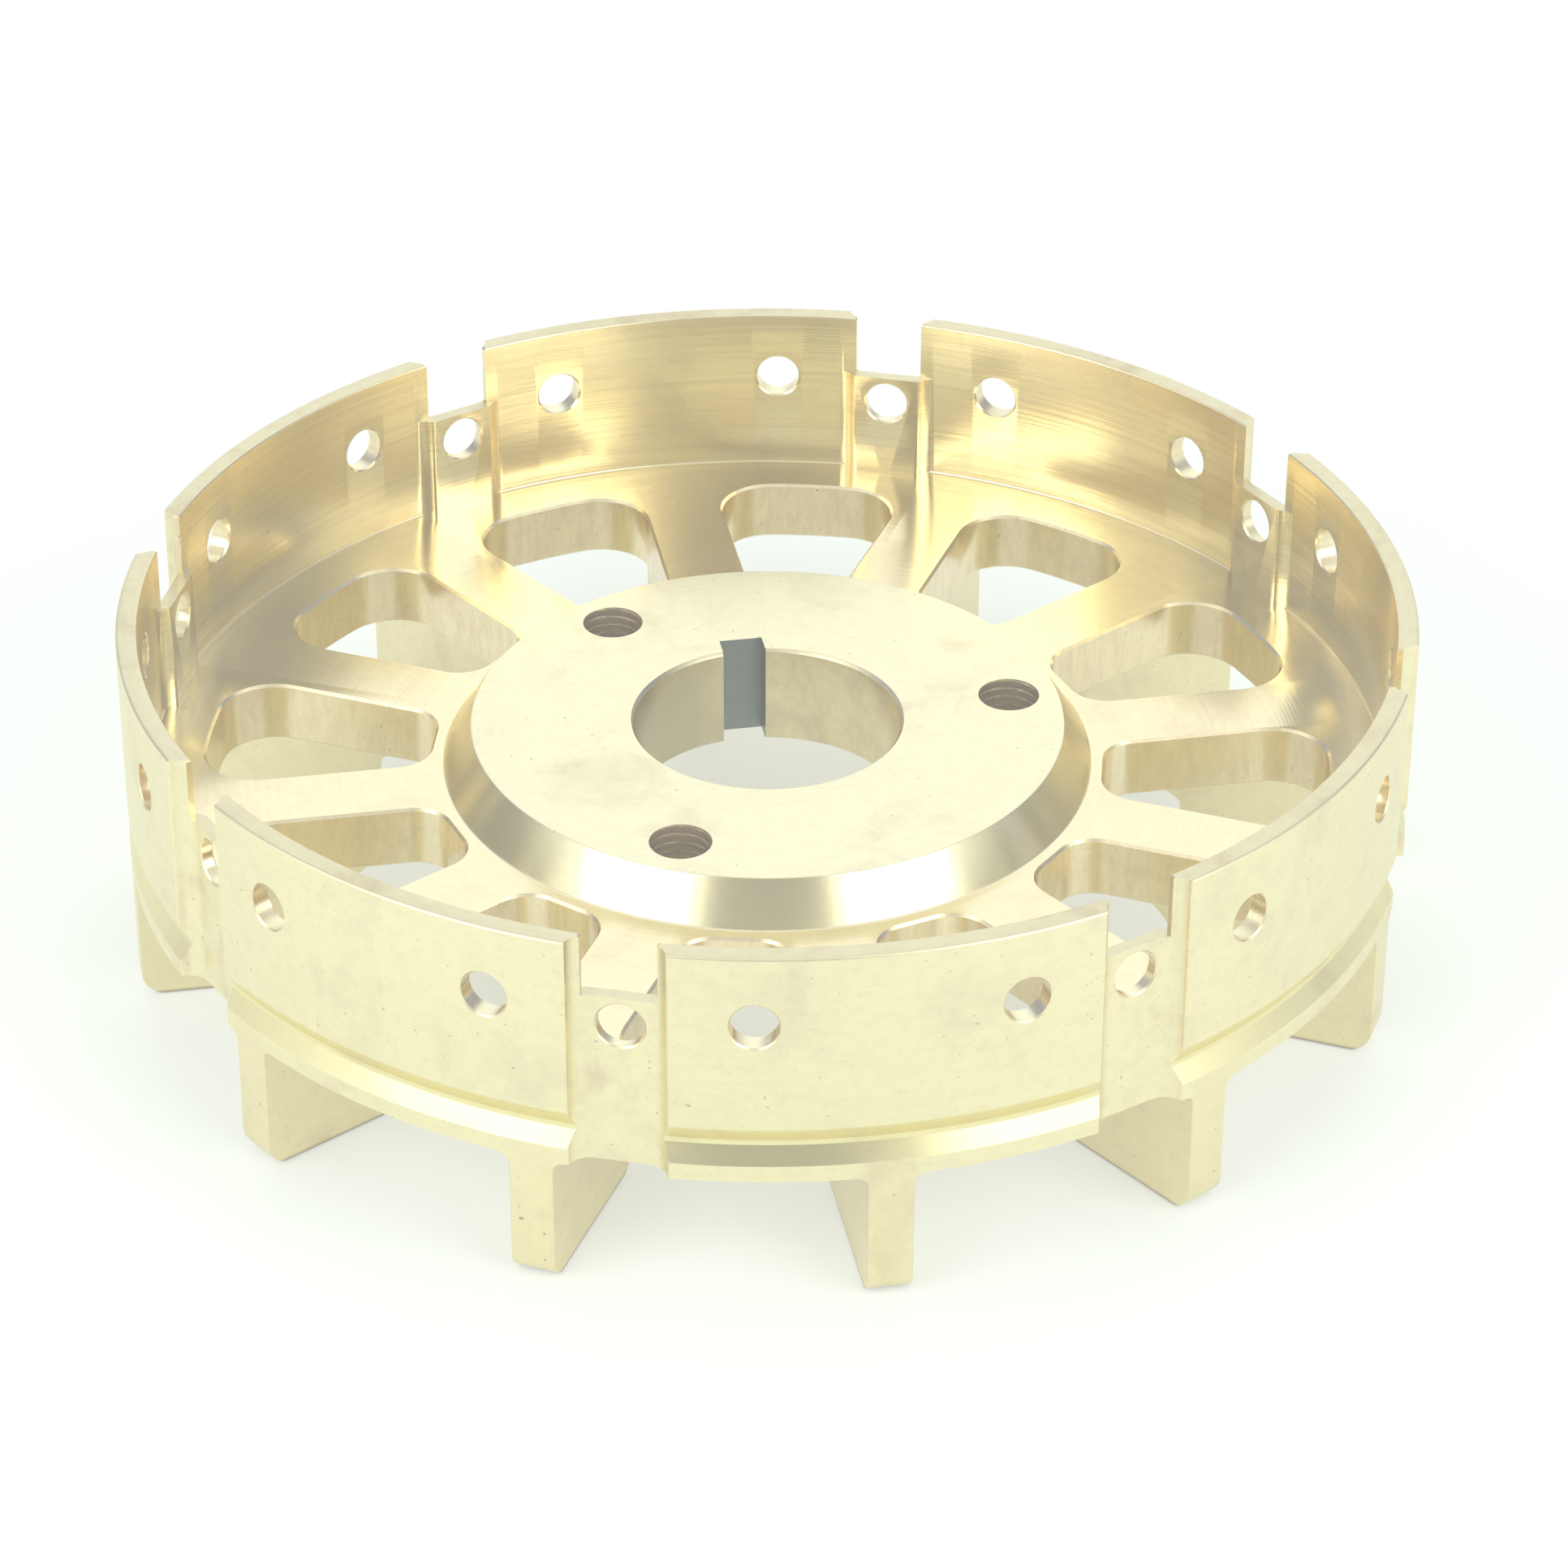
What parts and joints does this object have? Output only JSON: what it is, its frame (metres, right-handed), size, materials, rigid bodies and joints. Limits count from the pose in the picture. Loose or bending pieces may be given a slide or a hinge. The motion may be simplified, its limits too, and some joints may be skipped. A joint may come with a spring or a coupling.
{
  "type": "vaned rotor hub",
  "caption": "One-piece machined bronze rotor hub: keyed boss, spoked web, slotted rim with radial holes, and radial fan vanes beneath.",
  "frame": {"origin": "on the wheel's axis, in the plane of the vane feet", "axes": "+Z along the axis from the vanes towards the open rim, +Y through the keyway, +X completes a right-handed set"},
  "size_m": [0.24, 0.24, 0.0715],
  "materials": {
    "machined_bronze": "machined, satin on the turned faces and brighter on the inner wall, web and hub flank"
  },
  "bodies": {
    "root": {"vaned_rotor_hub": "machined_bronze"}
  },
  "joints": []
}
